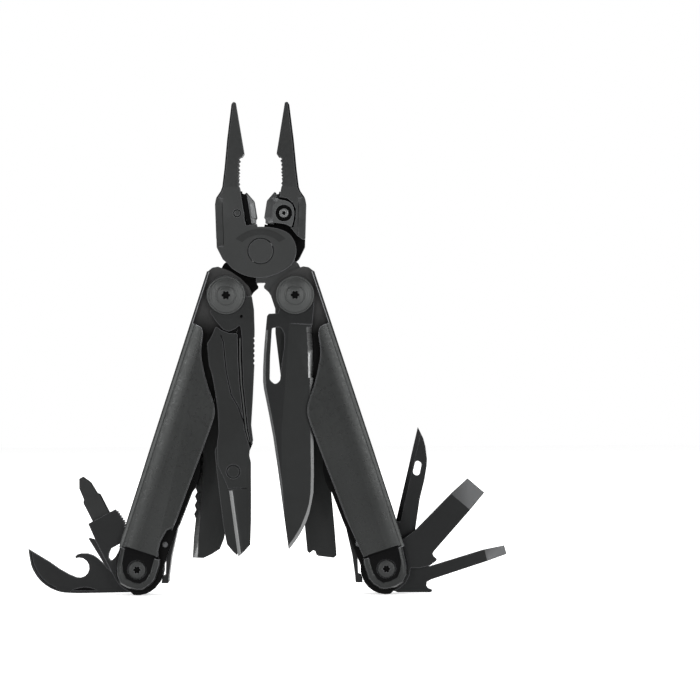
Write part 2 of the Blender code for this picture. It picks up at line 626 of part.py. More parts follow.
# serrated blade, behind
edge = teeth((22.0, -5.5), (76.1, -4.9), 18, -0.7)
blade = tang() + [(4.0, -6.2), (10.0, -5.6), *edge, (82.9, -5.1), (89.4, -4.9), (89.2, -1.2), (87.6, 1.6),
             (85.7, 4.1)]
blade += [(82.1, 5.2), (78.3, 5.6), (60.0, 7.0), (40.0, 8.2), (20.0, 8.8), (6.0, 8.4), (0.5, 7.0)]
ob = plate("serrated_blade", blade, BLADE_IN, BLADE_OUT, [BOLT_HOLE])
finish(ob, BLADE, ARM["left"], TURN["left"] + SERRATED_OPEN)

# saw blade held in an exchanger, behind
saw = [(12.0, 3.0, 0.5), (12.0, -3.0, 0.5), (23.9, -3.1), (24.0, -5.6, 0.5),
       *teeth((28.0, -5.7), (60.0, -5.6), 20, -0.6), (79.7, -5.5)]
saw += [(89.0, -5.3, 0.4), (89.7, -4.2), (88.6, 0.8), (88.2, 1.5), (86.8, 1.8), (86.5, 2.5), (87.0, 3.2),
        (87.4, 3.9, 0.3), (86.5, 4.5)]
saw += [(77.7, 4.5), (60.0, 5.0), (28.0, 5.6), (24.0, 5.5, 0.5), (23.9, 3.1)]
ob = plate("saw_blade", rounded(saw), 7.6, 8.8)
finish(reflect(ob, "Z"), BLADE, ARM["right"], TURN["right"] - SAW_OPEN)
fork = tang(6.6) + [(4.0, -6.5), (12.0, -6.7), (22.0, -6.9), (23.5, -6.0), (23.5, -3.6), (22.3, -3.5),
            (11.6, -3.3), (11.6, 3.3), (22.3, 3.5), (23.5, 3.6)]
fork += [(23.6, 5.95), (27.4, 5.95), (28.3, 6.8), (27.6, 7.7), (12.0, 8.1), (4.0, 7.4)]
ob = plate("blade_exchanger", fork, BLADE_IN, BLADE_OUT, [BOLT_HOLE])
finish(reflect(ob, "Z"), BLACK, ARM["right"], TURN["right"] - SAW_OPEN)


# small tools at the lower ends -------------------------------------------
# drawn with +X along the tool from the tool pivot

PIN_HOLE = circle(0, 0, TOOL_PIN_R + GAP, 14)
HUB_R = 8.2


def hub(start, end):
    return arc(0, 0, HUB_R, start, end, max(4, round(abs(end - start) / 20)))


def small_tool(name, outline, y0, y1, side, degrees, holes=()):
    ob = plate(name, outline, y0, y1, [PIN_HOLE, *holes])
    return finish(ob, BLADE, TOOLS[side], degrees)


opener = hub(80, 335) + [(10.3, -0.1), (13.7, -3.3), (15.1, -4.3), (17.1, -5.0), (19.4, -5.0), (20.8, -4.6),
             (21.4, -3.9)]
opener += [(21.1, -3.4), *arc(20.0, -0.2, 3.4, 75, 295, 9)[::-1], (23.5, 2.0), (26.5, 0.3), (29.9, -2.1)]
opener += wave([(37.2, -6.5), (36.3, -1.2), (34.9, 1.8), (33.3, 4.0), (30.9, 6.0),
                (28.2, 7.4), (25.0, 8.2), (20.0, 8.4)], 2)
small_tool("can_opener", opener, 0.1, 2.6, "left", 179.8)

driver = hub(90, 340) + [(10.5, -2.3), (13.6, -2.2), (15.4, -3.5), (20.2, -2.9), (21.3, -2.3), (21.1, 7.9),
             (15.6, 8.2)]
slot = rounded([(10.3, 1.2), (10.2, 4.9), (9.1, 6.2), (7.7, 7.1, 0.5), (6.4, 6.9, 0.5),
                (7.2, 4.6), (9.3, 1.6)])
ob = plate("bit_driver", driver, -5.2, -0.2, [PIN_HOLE, slot])
fuse(ob, plate("wedge", [(2.0, 7.9), (5.4, 9.2), (16.7, 10.1), (16.7, 9.6), (15.0, 8.0)], -4.9, -2.6))
cut(ob, box("socket", (12.4, -4.6, -0.55), (24.0, -0.8, 6.65)))
finish(ob, BLADE, TOOLS["left"], 116.8)
bit = [(12.8, -0.2), (28.2, -0.2), (28.9, 0.5), (30.0, 0.6), (33.0, 0.8), (36.0, 2.3, 0.3), (36.0, 3.8, 0.3),
       (33.0, 5.3)]
bit += [(30.0, 5.5), (28.9, 5.6), (28.2, 6.3), (12.8, 6.3)]
finish(soften(plate("driver_bit", rounded(bit), -4.3, -1.1), 0.8), BOLT, TOOLS["left"], 116.8)

awl = hub(15, 290) + [(15.1, -6.8), (24.9, -6.0), (31.8, -6.1), (36.3, -5.8), (38.6, -5.4), (42.7, -3.9),
          (45.2, -2.6)]
awl += [(48.4, 0.0), (16.3, 0.2)]
eye = rounded([(37.6, -1.7, 1.0), (32.6, -1.7, 1.2), (32.3, -4.1, 1.2), (37.0, -4.0, 1.2)], 30)
small_tool("awl", awl, 0.2, 2.6, "right", 77.0, [eye])

large = hub(25, 318) + [(8.4, -7.7), (11.4, -9.3), (13.9, -9.6), (14.6, -9.3), (14.4, -8.1), (14.7, -7.0),
            (15.5, -6.7)]
large += [(34.0, -4.7), (41.4, -3.7), (40.5, 3.7), (33.0, 3.7), (16.0, 2.8), (9.7, 3.5)]
small_tool("large_driver", large, -5.2, -2.8, "right", 42.4)

small = hub(5, 280) + [(2.6, -8.8), (13.5, -10.4), (14.2, -10.1), (14.1, -9.6), (12.9, -8.9), (12.5, -8.0),
            (12.8, -6.8)]
small += [(14.3, -6.2), (34.2, -2.8), (40.8, -1.5), (40.4, 1.5), (33.0, 1.1), (14.6, -1.7)]
small_tool("small_driver", small, -2.5, -0.1, "right", 8.3)
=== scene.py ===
import json
import math
import bmesh
import bpy
from mathutils import Matrix, Vector


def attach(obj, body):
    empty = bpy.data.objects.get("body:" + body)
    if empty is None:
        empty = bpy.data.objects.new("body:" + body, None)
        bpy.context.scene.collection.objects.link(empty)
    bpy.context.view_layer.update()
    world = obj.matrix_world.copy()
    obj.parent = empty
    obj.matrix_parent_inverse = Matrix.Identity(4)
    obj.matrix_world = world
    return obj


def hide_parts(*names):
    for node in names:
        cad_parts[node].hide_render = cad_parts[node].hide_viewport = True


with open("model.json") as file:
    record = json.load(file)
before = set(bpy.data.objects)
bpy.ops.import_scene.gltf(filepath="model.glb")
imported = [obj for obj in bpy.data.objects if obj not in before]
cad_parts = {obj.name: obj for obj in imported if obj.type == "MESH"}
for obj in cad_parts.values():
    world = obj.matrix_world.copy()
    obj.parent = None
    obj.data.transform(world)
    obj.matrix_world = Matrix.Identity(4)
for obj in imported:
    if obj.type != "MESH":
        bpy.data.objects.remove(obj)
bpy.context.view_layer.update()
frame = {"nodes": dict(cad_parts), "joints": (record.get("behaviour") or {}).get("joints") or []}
MM = 0.001
spots = {j["name"]: Vector(j.get("pos_m", (0, 0, 0))) for j in frame["joints"]}
ARM_L = spots["left_handle_fold"]
ARM_R = spots["right_handle_fold"]
END_L = spots["opener_fold"]
END_R = spots["awl_fold"]
HEAD = spots["plier_pivot"]

# depths, in millimetres from the middle plane
SHELL_FACE = 10.6
PAD_FLOOR = 10.05
JAW_FACE = 5.4
INSERT_FACE = 5.2
INSERT_BACK = 4.6
BLADE_FACE = 9.2
BLADE_BACK = 7.25

# Where each piece's own drawing lies: origin, direction of its +a in degrees, mirrored or not
PLACES = {
    "handle_left": (ARM_L, 251.8, False),
    "handle_right": (ARM_R, 288.2, True),
    "knife": (ARM_R, 268.3, True),
    "saw": (ARM_R, 275.3, True),
    "scissors": (ARM_L, 272.4, False),
    "serrated": (ARM_L, 265.3, False),
    "opener": (END_L, 179.8, False),
    "driver": (END_L, 116.8, False),
    "awl": (END_R, 77.0, False),
    "large": (END_R, 42.4, False),
    "small": (END_R, 8.3, False),
    "jaw_front": (HEAD, 9.2, False),
    "jaw_rear": (HEAD, -9.2, False),
    "head": (HEAD, 0.0, False),
}


def place(name):
    origin, degrees, mirrored = PLACES[name]
    c = math.cos(math.radians(degrees))
    s = math.sin(math.radians(degrees))
    f = -1 if mirrored else 1
    m = Matrix(((c, 0, -s * f, 0), (0, 1, 0, 0), (s, 0, c * f, 0), (0, 0, 0, 1)))
    return Matrix.Translation(origin) @ m


# materials ---------------------------------------------------------------

def coated(name, color, rough, metallic=0.9, grain=900.0, bump=0.05, edge=0.0, stretch=(1, 1, 1),
        specular=0.5):
    """Black-oxide steel: fine grain, faint cloudiness, and slightly brighter edges, part wear and part
    painted highlight.
    """
    mat = bpy.data.materials.new(name)
    mat.use_nodes = True
    tree = mat.node_tree
    shader = tree.nodes["Principled BSDF"]
    shader.inputs["Metallic"].default_value = metallic
    shader.inputs["Specular IOR Level"].default_value = specular
    coords = tree.nodes.new("ShaderNodeTexCoord")
    mapping = tree.nodes.new("ShaderNodeMapping")
    mapping.inputs["Scale"].default_value = stretch
    tree.links.new(coords.outputs["Object"], mapping.inputs["Vector"])
    fine = tree.nodes.new("ShaderNodeTexNoise")
    fine.inputs["Scale"].default_value = grain
    fine.inputs["Detail"].default_value = 3.0
    tree.links.new(mapping.outputs["Vector"], fine.inputs["Vector"])
    cloud = tree.nodes.new("ShaderNodeTexNoise")
    cloud.inputs["Scale"].default_value = 45.0
    cloud.inputs["Detail"].default_value = 4.0
    tree.links.new(coords.outputs["Object"], cloud.inputs["Vector"])
    tone = tree.nodes.new("ShaderNodeMapRange")
    tone.inputs["From Min"].default_value = 0.3
    tone.inputs["From Max"].default_value = 0.7
    tone.inputs["To Min"].default_value = 0.88
    tone.inputs["To Max"].default_value = 1.12
    tree.links.new(cloud.outputs["Fac"], tone.inputs["Value"])
    base = tree.nodes.new("ShaderNodeMix")
    base.data_type = "RGBA"
    base.blend_type = "MULTIPLY"
    base.inputs["Factor"].default_value = 1.0
    base.inputs["A"].default_value = (*color, 1.0)
    tree.links.new(tone.outputs["Result"], base.inputs["B"])
    out = base.outputs["Result"]
    # edge lightens the rounded edges: part wear of bare steel, part painted highlight
    if edge > 0.0:
        round_edge = tree.nodes.new("ShaderNodeBevel")
        round_edge.samples = 4
        round_edge.inputs["Radius"].default_value = 0.0004
        geometry = tree.nodes.new("ShaderNodeNewGeometry")
        dot = tree.nodes.new("ShaderNodeVectorMath")
        dot.operation = "DOT_PRODUCT"
        tree.links.new(round_edge.outputs["Normal"], dot.inputs[0])
        tree.links.new(geometry.outputs["Normal"], dot.inputs[1])
        wear_and_highlight = tree.nodes.new("ShaderNodeMapRange")
        wear_and_highlight.inputs["From Min"].default_value = 0.995
        wear_and_highlight.inputs["From Max"].default_value = 0.90
        wear_and_highlight.inputs["To Min"].default_value = 0.0
        wear_and_highlight.inputs["To Max"].default_value = edge
        tree.links.new(dot.outputs["Value"], wear_and_highlight.inputs["Value"])
        mix = tree.nodes.new("ShaderNodeMix")
        mix.data_type = "RGBA"
        mix.inputs["B"].default_value = (0.16, 0.16, 0.17, 1.0)
        tree.links.new(wear_and_highlight.outputs["Result"], mix.inputs["Factor"])
        tree.links.new(out, mix.inputs["A"])
        out = mix.outputs["Result"]
    tree.links.new(out, shader.inputs["Base Color"])
    gloss = tree.nodes.new("ShaderNodeMapRange")
    gloss.inputs["From Min"].default_value = 0.25
    gloss.inputs["From Max"].default_value = 0.75
    gloss.inputs["To Min"].default_value = rough - 0.05
    gloss.inputs["To Max"].default_value = rough + 0.06
    tree.links.new(fine.outputs["Fac"], gloss.inputs["Value"])
    tree.links.new(gloss.outputs["Result"], shader.inputs["Roughness"])
    relief = tree.nodes.new("ShaderNodeBump")
    relief.inputs["Strength"].default_value = bump
    relief.inputs["Distance"].default_value = 0.0001
    tree.links.new(fine.outputs["Fac"], relief.inputs["Height"])
    tree.links.new(relief.outputs["Normal"], shader.inputs["Normal"])
    return mat


HANDLE = coated("handle_black", (0.0205, 0.0214, 0.0211), 0.30, 0.85, 1100, 0.06, edge=0.5)
HEADMAT = coated("black_oxide", (0.0235, 0.0243, 0.0242), 0.42, 0.85, 900, 0.10, edge=0.35)
BLADE = coated("blade_black", (0.0150, 0.0156, 0.0156), 0.36, 0.9, 500, 0.06, edge=0.35,
    stretch=(1, 1, 12))
TOOL = coated("tool_black", (0.0095, 0.0099, 0.0101), 0.40, 0.85, 700, 0.08, edge=0.35)
BRIGHT = coated("ground_steel", (0.145, 0.147, 0.147), 0.30, 1.0, 300, 0.08, stretch=(1, 1, 14))
GROUND = coated("ground_dark", (0.055, 0.056, 0.057), 0.34, 1.0, 300, 0.08, stretch=(14, 1, 1))
PIN = coated("pin_grey", (0.055, 0.056, 0.057), 0.36, 0.9, 1200, 0.10)
# painted shade: near-black matt colour laid in recesses, grooves, slots and gaps
PAINTED_SHADE = coated("inner_black", (0.0012, 0.0012, 0.0013), 0.6, 0.0, 700, 0.08, specular=0.05)
# dim painted shade for the shallow band on the jaws and for the bit
SHADE = coated("painted_shade_dim", (0.014, 0.0145, 0.0145), 0.5, 0.6, 500, 0.35, specular=0.25)
INSERT = coated("insert_black", (0.045, 0.0465, 0.0465), 0.40, 0.85, 900, 0.10, edge=0.3)


def channel():
    """Inside of the handles, painted shade: dull grey at the bolts, falling to near black down the
    channel.
    """
    mat = coated("channel_painted_shade", (0.003, 0.003, 0.0032), 0.55, 0.0, 700, 0.08)
    tree = mat.node_tree
    shader = tree.nodes["Principled BSDF"]
    coords = tree.nodes.new("ShaderNodeTexCoord")
    parts = tree.nodes.new("ShaderNodeSeparateXYZ")
    tree.links.new(coords.outputs["Object"], parts.inputs["Vector"])
    for name, low, high in (("Base Color", 0.0012, 0.009), ("Specular IOR Level", 0.05, 0.28)):
        fall = tree.nodes.new("ShaderNodeMapRange")
        fall.inputs["From Min"].default_value = ARM_L.z - 0.013
        fall.inputs["From Max"].default_value = ARM_L.z - 0.006
        fall.inputs["To Min"].default_value = low
        fall.inputs["To Max"].default_value = high
        tree.links.new(parts.outputs["Z"], fall.inputs["Value"])
        tree.links.new(fall.outputs["Result"], shader.inputs[name])
    return mat


CHANNEL_SHADE = channel()


def brushed(name, color, rough):
    """Steel turned on a lathe: fine rings round the piece's own Y axis."""
    mat = coated(name, color, rough, 0.9, 1200, 0.08)
    tree = mat.node_tree
    shader = tree.nodes["Principled BSDF"]
    coords = tree.nodes.new("ShaderNodeTexCoord")
    rings = tree.nodes.new("ShaderNodeTexWave")
    rings.wave_type = "RINGS"
    rings.rings_direction = "Y"
    rings.inputs["Scale"].default_value = 620.0
    rings.inputs["Distortion"].default_value = 0.6
    rings.inputs["Detail"].default_value = 2.0
    tree.links.new(coords.outputs["Object"], rings.inputs["Vector"])
    relief = tree.nodes.new("ShaderNodeBump")
    relief.inputs["Strength"].default_value = 0.16
    relief.inputs["Distance"].default_value = 0.0001
    tree.links.new(rings.outputs["Color"], relief.inputs["Height"])
    tree.links.new(relief.outputs["Normal"], shader.inputs["Normal"])
    return mat


BOLT = brushed("bolt_grey", (0.038, 0.0393, 0.0389), 0.38)
SCREW = brushed("screw_grey", (0.09, 0.092, 0.092), 0.34)


# shapes ------------------------------------------------------------------

def new_object(name, mesh):
    ob = bpy.data.objects.new(name, mesh)
    bpy.context.scene.collection.objects.link(ob)
    return ob


def evaluated(ob):
    bpy.context.view_layer.update()
    graph = bpy.context.evaluated_depsgraph_get()
    return bpy.data.meshes.new_from_object(ob.evaluated_get(graph))


def applied(ob):
    mesh = evaluated(ob)
    ob.modifiers.clear()
    old = ob.data
    ob.data = mesh
    bpy.data.meshes.remove(old)
    return ob


def cleaned(node, name):
    """Copy of a CAD node with its flat faces joined up."""
    mesh = frame["nodes"][node].data.copy()
    bm = bmesh.new()
    bm.from_mesh(mesh)
    for v in bm.verts:
        if 5.36 < abs(v.co.y) / MM < 5.395 and node.startswith("jaw"):
            v.co.y = math.copysign(5.4 * MM, v.co.y)
    bmesh.ops.remove_doubles(bm, verts=bm.verts, dist=0.0000015)
    bmesh.ops.dissolve_degenerate(bm, edges=bm.edges, dist=0.000001)
    bmesh.ops.dissolve_limit(bm, angle_limit=0.008, verts=bm.verts, edges=bm.edges)
    bm.to_mesh(mesh)
    bm.free()
    mesh.materials.clear()
    return new_object(name, mesh)


def prism(points, y0, y1, where, mat=None):
    """Flat solid from an outline in a piece's own millimetres."""
    m = place(where)
    bm = bmesh.new()
    low = [bm.verts.new(m @ Vector((p[0] * MM, y0 * MM, p[1] * MM))) for p in points]
    high = [bm.verts.new(m @ Vector((p[0] * MM, y1 * MM, p[1] * MM))) for p in points]
    bm.faces.new(low)
    bm.faces.new(high)
    for i in range(len(points)):
        j = (i + 1) % len(points)
        bm.faces.new((low[i], low[j], high[j], high[i]))
    bmesh.ops.recalc_face_normals(bm, faces=bm.faces)
    mesh = bpy.data.meshes.new("cut")
    bm.to_mesh(mesh)
    bm.free()
    if mat:
        mesh.materials.append(mat)
    return new_object("cut", mesh)


def sweep(path, section, where, mat=None):
    """Cutter swept along a path; the section is (to the left of the way, depth)."""
    m = place(where)
    bm = bmesh.new()
    rings = []
    for i, p in enumerate(path):
        a = Vector(path[max(i - 1, 0)][:2])
        b = Vector(path[min(i + 1, len(path) - 1)][:2])
        way = (b - a).normalized()
        left = Vector((-way.y, way.x))
        here = Vector(p[:2])
        shift = p[2] if len(p) > 2 else 0.0
        if i == 0:
            here -= way * 0.02
        if i == len(path) - 1:
            here += way * 0.02
        ring = []
        for u, y in section:
            q = here + left * u
            ring.append(bm.verts.new(m @ Vector((q.x * MM, (y + shift) * MM, q.y * MM))))
        rings.append(ring)
    n = len(section)
    for r0, r1 in zip(rings, rings[1:]):
        for k in range(n):
            bm.faces.new((r0[k], r0[(k + 1) % n], r1[(k + 1) % n], r1[k]))
    bm.faces.new(rings[0])
    bm.faces.new(rings[-1])
    bmesh.ops.recalc_face_normals(bm, faces=bm.faces)
    mesh = bpy.data.meshes.new("cut")
    bm.to_mesh(mesh)
    bm.free()
    if mat:
        mesh.materials.append(mat)
    return new_object("cut", mesh)


def groove(path, width, depth, face, side, where, mat=None):
    """V-shaped line cut in the flat face at that depth; side is -1 for a front face."""
    w = width * 0.8
    out = face + side * 0.6 * depth
    return sweep(path, [(-w, out), (0, face - side * depth), (w, out)], where, mat)


def grind(path, width, depth, face, side, where, mat):
    """Bevel ground along an edge: the path runs on the edge with the metal on its left."""
    reach = 1.0
    slope = depth / width
    out = face + side * 0.8
    low = face - side * (depth + slope * reach)
    return sweep(path, [(width, face), (width, out), (-reach, out), (-reach, low)], where, mat)


def notches(path, pitch, size, y0, y1, where, mat=None):
    """Small V notches along an edge, with the metal on the left of the way."""
    points = []
    far = []
    for p, q in zip(path, path[1:]):
        a = Vector(p)
        b = Vector(q)
        way = (b - a).normalized()
        left = Vector((-way.y, way.x))
        count = max(1, round((b - a).length / pitch))
        for k in range(count):
            points.append(a.lerp(b, k / count) - left * 0.12)
            points.append(a.lerp(b, (k + 0.5) / count) + left * size)
        far.append(a - left * 1.2)
        far.append(b - left * 1.2)
    points.append(Vector(path[-1]) - left * 0.12)
    return prism([tuple(v) for v in points + far[::-1]], y0, y1, where, mat)


def turned(name, profile, centre, steps=48):
    """Solid of revolution about Y from (radius, depth) in millimetres."""
    bm = bmesh.new()
    rings = []
    for radius, depth in profile:
        if radius == 0:
            rings.append([bm.verts.new((0.0, depth * MM, 0.0))])
            continue
        ring = []
        for k in range(steps):
            a = 2 * math.pi * k / steps
            ring.append(bm.verts.new((radius * MM * math.cos(a), depth * MM,
                radius * MM * math.sin(a))))
        rings.append(ring)
    for r0, r1 in zip(rings, rings[1:]):
        for k in range(steps):
            j = (k + 1) % steps
            corners = [r0[k % len(r0)], r0[j % len(r0)], r1[j % len(r1)], r1[k % len(r1)]]
            unique = list(dict.fromkeys(corners))
            if len(unique) > 2:
                bm.faces.new(unique)
    bmesh.ops.recalc_face_normals(bm, faces=bm.faces)
    mesh = bpy.data.meshes.new(name)
    bm.to_mesh(mesh)
    bm.free()
    ob = new_object(name, mesh)
    ob.location = centre
    return ob


def carve(ob, *tools):
    """Cut tools out of the piece, one after the other, keeping the tools' materials."""
    for tool in tools:
        change = ob.modifiers.new("cut", "BOOLEAN")
        change.solver = "EXACT"
        change.operation = "DIFFERENCE"
        change.material_mode = "TRANSFER"
        change.object = tool
        applied(ob)
        bpy.data.objects.remove(tool)
    return ob


def rounded_off(ob, width, segments=3, angle=28.0):
    """Small rounds on the sharp edges."""
    bevel = ob.modifiers.new("edge", "BEVEL")
    bevel.width = width * MM
    bevel.segments = segments
    bevel.limit_method = "ANGLE"
    bevel.angle_limit = math.radians(angle)
    bevel.use_clamp_overlap = True
    applied(ob)
    return ob


def smoothed(ob, least=0.0):
    """Smooth shading, with crisp lines round the wide faces larger than so many square millimetres."""
    ob.data.shade_smooth()
    bm = bmesh.new()
    bm.from_mesh(ob.data)
    for edge in bm.edges:
        if len(edge.link_faces) == 2 and edge.calc_face_angle() > math.radians(1.0):
            narrow = min(2 * f.calc_area() / f.calc_perimeter() for f in edge.link_faces)
            large = max(f.calc_area() for f in edge.link_faces)
            if narrow > 0.25 * MM and large > least * MM * MM:
                edge.smooth = False
    bm.to_mesh(ob.data)
    bm.free()
    level = ob.modifiers.new("normals", "WEIGHTED_NORMAL")
    level.mode = "FACE_AREA"
    level.weight = 100
    level.thresh = 0.01
    level.keep_sharp = True
    applied(ob)
    return ob


def show(ob, node, body, mat):
    if not ob.data.materials:
        ob.data.materials.append(mat)
    elif ob.data.materials[0] is None:
        ob.data.materials[0] = mat
    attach(ob, body)
    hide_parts(node)
    return ob


def darkened(ob, low, high):
    """Paint the recessed flat faces between two depths with painted shade."""
    names = [m.name for m in ob.data.materials]
    shade_mat = CHANNEL_SHADE if ob.name.startswith("handle") else PAINTED_SHADE
    if shade_mat.name not in names:
        ob.data.materials.append(shade_mat)
        names.append(shade_mat.name)
    inner = names.index(shade_mat.name)
    for face in ob.data.polygons:
        if abs(face.normal.y) > 0.7 and low < abs(face.center.y) / MM < high:
            face.material_index = inner


def refined(node, body, mat, tools=(), width=0.2, segments=3, angle=28.0, dark=None, late=(),
        least=0.0):
    """Stand-in for a CAD node: its shape, with cuts, small rounds, shallow marks, its material and
    painted shade on recessed faces.
    """
    ob = cleaned(node, node + "_fine")
    ob.data.materials.append(mat)
    carve(ob, *tools)
    rounded_off(ob, width, segments, angle)
    carve(ob, *late)
    smoothed(ob, least)
    if dark:
        darkened(ob, *dark)
    return show(ob, node, body, mat)


# handles -----------------------------------------------------------------

def arc_path(x, z, radius, start, end, count=14):
    out = []
    for k in range(count + 1):
        a = math.radians(start + (end - start) * k / count)
        out.append((x + radius * math.cos(a), z + radius * math.sin(a)))
    return out


WAVE = [(14.4, -3.5), (16.0, -3.0), (18.0, -2.7), (21.4, -1.8), (24.6, -0.2), (28.2, 1.9),
    (31.7, 4.3), (34.7, 6.6)]
WAVE += [(37.2, 8.1), (40.2, 8.8), (45.7, 8.7), (54.5, 8.4), (64.5, 7.9), (76.0, 7.5)]
NOTCH = [(79.2, 7.3), (80.2, 6.2), (81.2, 5.4), (85.0, 4.6), (88.3, 4.8), (91.0, 5.8)]
# dark flat inside the raised rim of the end pad, painted shade
PAD = [(90.2, -6.1), (96.0, -5.4), (98.6, -4.2), (100.4, -2.6), (100.9, 0.0), (100.6, 2.4),
    (99.0, 3.9), (96.2, 4.6), (90.2, 4.4)]

for side in ("left", "right"):
    where = "handle_" + side
    body = side + "_handle"
    edge = WAVE + (NOTCH if side == "left" else [(90.3, 7.0)])
    cuts = []
    late = []
    for s in (-1, 1):
        face = SHELL_FACE * s
        cuts.append(sweep(edge[::-1], [(0.4, face), (0.4, face + s * 0.4), (-0.6, face + s * 0.4),
            (-0.6, face - s * 0.55)], where, HANDLE))
        crown = [(7.0, 0.0), (6.0, 0.03), (5.0, 0.10), (4.0, 0.21), (3.0, 0.36), (2.0, 0.55),
            (1.0, 0.78), (0.0, 1.05), (-0.6, 1.2)]
        crown = [(u, face - s * d) for u, d in crown] + [(-0.6, face + s * 0.5),
            (7.0, face + s * 0.5)]
        cuts.append(sweep([(12.35, -9.2), (90.6, -9.2)], crown, where, HANDLE))
        # the seam groove across the handle and the pad floor are painted shade black
        late.append(groove([(90.75, -9.2), (90.75, 7.6)], 0.55, 0.6, face - 0.2 * s, s, where,
            PAINTED_SHADE))
        low, high = sorted((PAD_FLOOR * s, 11.0 * s))
        late.append(prism(PAD, low, high, where, PAINTED_SHADE))
    refined("handle_" + side, body, HANDLE, cuts, 0.3, 3, 24, (6.6, 7.1), late,
        150.0)
    refined("tool_spacer_" + side, body, TOOL, (), 0.2, 2)
    refined("tool_lock_" + side, side + "_lock", TOOL, (), 0.25, 3)
    # lip of the inner walls beside the tool lock's spring, painted shade black
    for s in (-1, 1):
        low, high = sorted((5.9 * s, 6.8 * s))
        lip = prism([(51.5, 7.0), (55.5, 8.7), (59.0, 9.8), (62.5, 10.1), (64.8, 9.9), (64.8, 7.0)],
            low, high, where, PAINTED_SHADE)
        lip.name = "wall_lip_shade_%s_%s" % (side, "front" if s < 0 else "rear")
        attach(lip, body)
    pivot = (place(where) @ Vector((85.8 * MM, 0, 6.2 * MM)))
    pin = turned("lock_pin_%s_fine" % side,
        [(0, 6.9), (0.95, 6.9), (1.15, 6.7), (1.15, -6.7), (0.95, -6.9), (0, -6.9)], pivot, 24)
    smoothed(rounded_off(pin, 0.08, 2, 24))
    show(pin, "lock_pin_" + side, body, PIN)


def star(outer, inner, y0, y1, spot):
    """Six-lobed driver recess, painted shade black inside."""
    points = []
    for k in range(36):
        a = 2 * math.pi * k / 36
        r = (outer + inner) / 2 + (outer - inner) / 2 * math.cos(6 * a)
        points.append((r * math.cos(a), r * math.sin(a)))
    ob = prism(points, y0, y1, "head", PAINTED_SHADE)
    ob.location = spot - HEAD
    return ob


def fastener(node, body, profile, centre, recess, front, mat):
    ob = turned(node + "_fine", profile, centre)
    ob.data.materials.append(mat)
    if recess:
        carve(ob, star(recess, recess * 0.68, front - 0.5, front + 1.2, centre))
    smoothed(rounded_off(ob, 0.07, 2, 24))
    return show(ob, node, body, mat)


for side, arm, end in (("left", ARM_L, END_L), ("right", ARM_R, END_R)):
    body = side + "_handle"
    face = [(6.5, 9.5), (6.5, 9.9), (6.3, 10.15), (6.0, 10.2), (5.85, 10.05), (5.7, 10.25),
        (4.6, 10.55), (3.45, 10.75)]
    face += [(3.3, 10.62), (3.15, 10.8), (2.6, 10.97), (1.8, 11.12), (0, 11.2)]
    fastener("handle_bolt_" + side, body, [(0, 10.1), (2.6, 10.1), (2.6, -9.5)] + [(r, -y) for r,
        y in face], arm, 1.5, -11.2, BOLT)
    fastener("handle_nut_" + side, body, face[::-1] + [(2.9, 9.5), (2.9, 10.4), (0, 10.4)], arm, 0,
        0, BOLT)
    face = [(3.0, 8.5), (3.0, 9.6), (2.9, 9.85), (2.65, 10.0), (2.2, 10.08), (0, 10.1)]
    fastener("tool_screw_" + side, body, [(0, 9.3), (2.0, 9.3), (2.0, -8.5)] + [(r, -y) for r,
        y in face], end, 1.3, -10.1, HEADMAT)
    fastener("tool_nut_" + side, body, face[::-1] + [(2.3, 8.5), (2.3, 9.6), (0, 9.6)], end, 0, 0,
        HEADMAT)


# plier head --------------------------------------------------------------

# side bevel of a jaw, from the shoulder to the tip: along, up, and how far the face has tapered in
SIDE = [(12.65, 18.0, 0.0), (11.9, 20.0, 0.0), (10.0, 22.1, 0.05), (9.2, 23.4, 0.15),
    (7.5, 29.3, 0.9), (5.0, 39.0, 2.1), (1.75, 50.3, 3.45)]
FOOT = [(14.5, 4.0, 0.0), (14.2, 5.6, 0.0), (13.2, 13.2, 0.0), (12.6, 18.0, 0.0), (11.8, 20.2, 0.0)]
GRIP = [(3.4, 22.4), (3.1, 25.0), (2.5, 28.4), (1.6, 32.4)]

